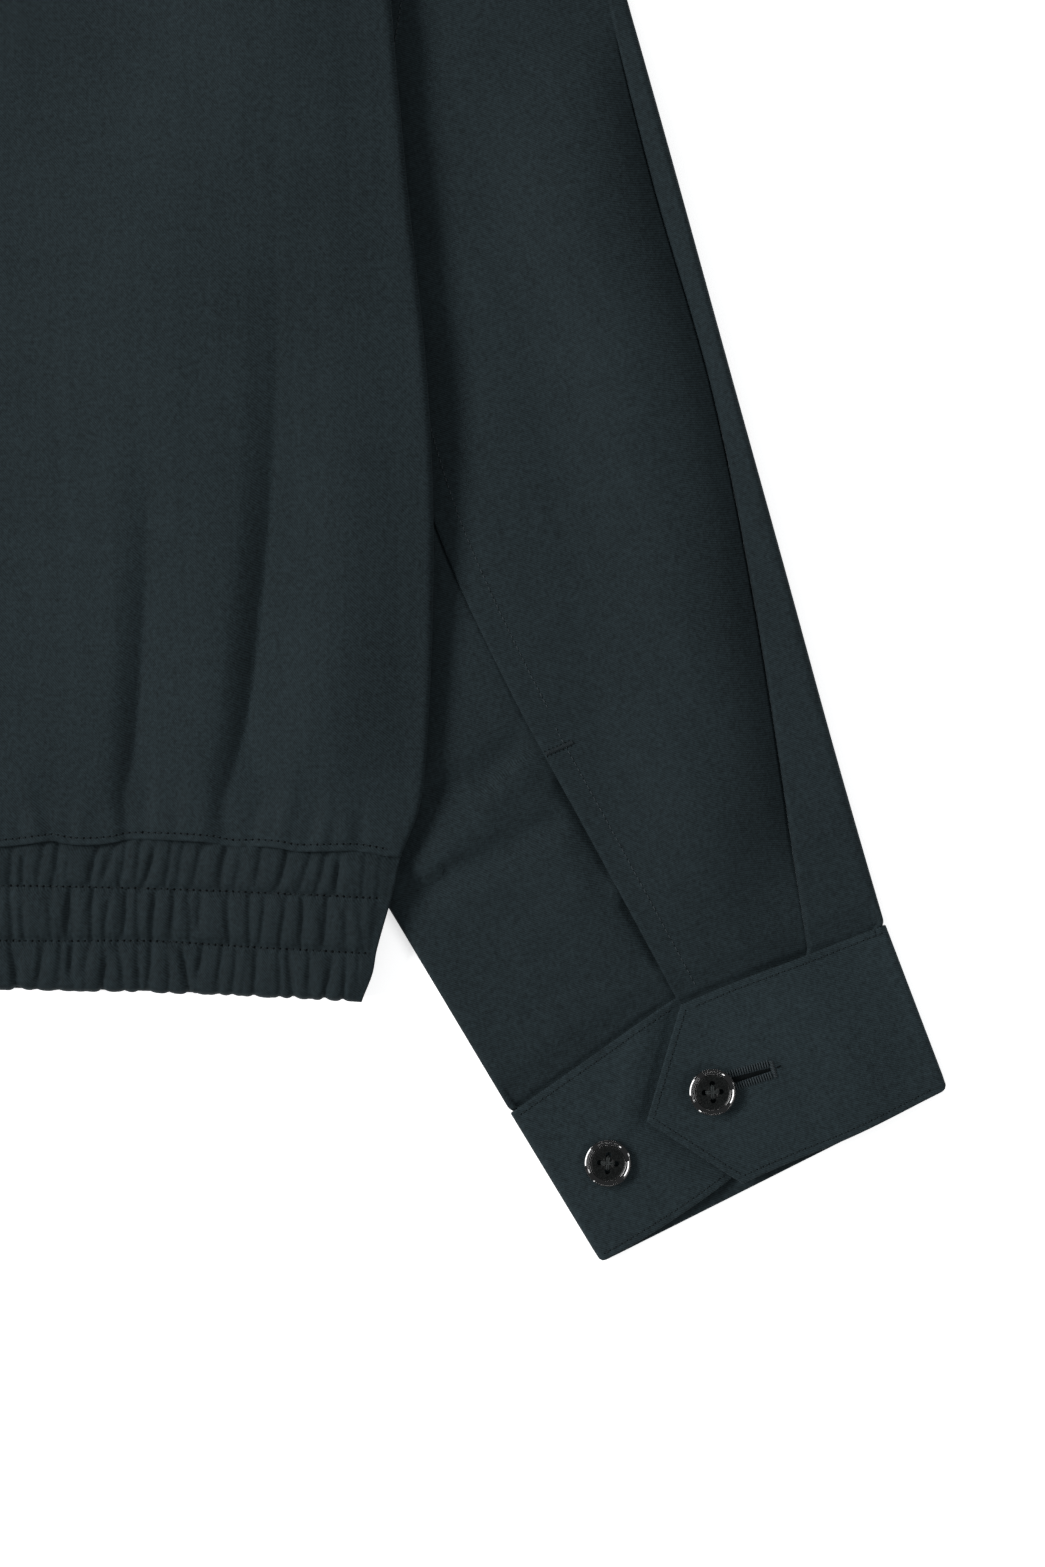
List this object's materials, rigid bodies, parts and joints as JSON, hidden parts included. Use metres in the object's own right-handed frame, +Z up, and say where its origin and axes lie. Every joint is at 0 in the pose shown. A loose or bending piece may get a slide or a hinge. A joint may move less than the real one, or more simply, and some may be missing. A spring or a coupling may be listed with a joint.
{
  "type": "harrington jacket",
  "caption": "Black casual jacket laid flat on its front: gathered elastic hem band, long sleeves tucked under, buttoned cuffs with an opening, stand collar, front zip.",
  "frame": {"origin": "bottom centre of the bounding box: on the surface the jacket lies on, midway across and midway along it", "axes": "+X towards the wearer's right sleeve, +Y from the hem to the collar, +Z up off the surface, out of the back panel"},
  "size_m": [0.893, 0.7738, 0.0138],
  "materials": {
    "shell_cloth": "matt fine twill",
    "button_plastic": "polished",
    "zip_metal": "dark satin"
  },
  "bodies": {
    "jacket": {"back": "shell_cloth", "front_right": "shell_cloth", "front_left": "shell_cloth", "hem_band_back": "shell_cloth", "hem_band_front_right": "shell_cloth", "hem_band_front_left": "shell_cloth", "sleeve_top_right": "shell_cloth", "sleeve_top_left": "shell_cloth", "sleeve_under_right": "shell_cloth", "sleeve_under_left": "shell_cloth", "cuff_right": "shell_cloth", "cuff_left": "shell_cloth", "collar": "shell_cloth", "zip_tape_right": "shell_cloth", "zip_tape_left": "shell_cloth", "button_right_closed": "button_plastic", "button_right_spare": "button_plastic", "button_left_closed": "button_plastic", "button_left_spare": "button_plastic", "zip_chain": "zip_metal", "zip_slider": "zip_metal"},
    "pull": {"zip_pull": "zip_metal"}
  },
  "joints": [
    {"name": "zip_pull_hinge", "type": "hinge", "parent": "jacket", "child": "pull", "pos_m": [0, 0.2334, 0.00125], "axis": [1, 0, 0], "range_deg": [0, 150]}
  ]
}
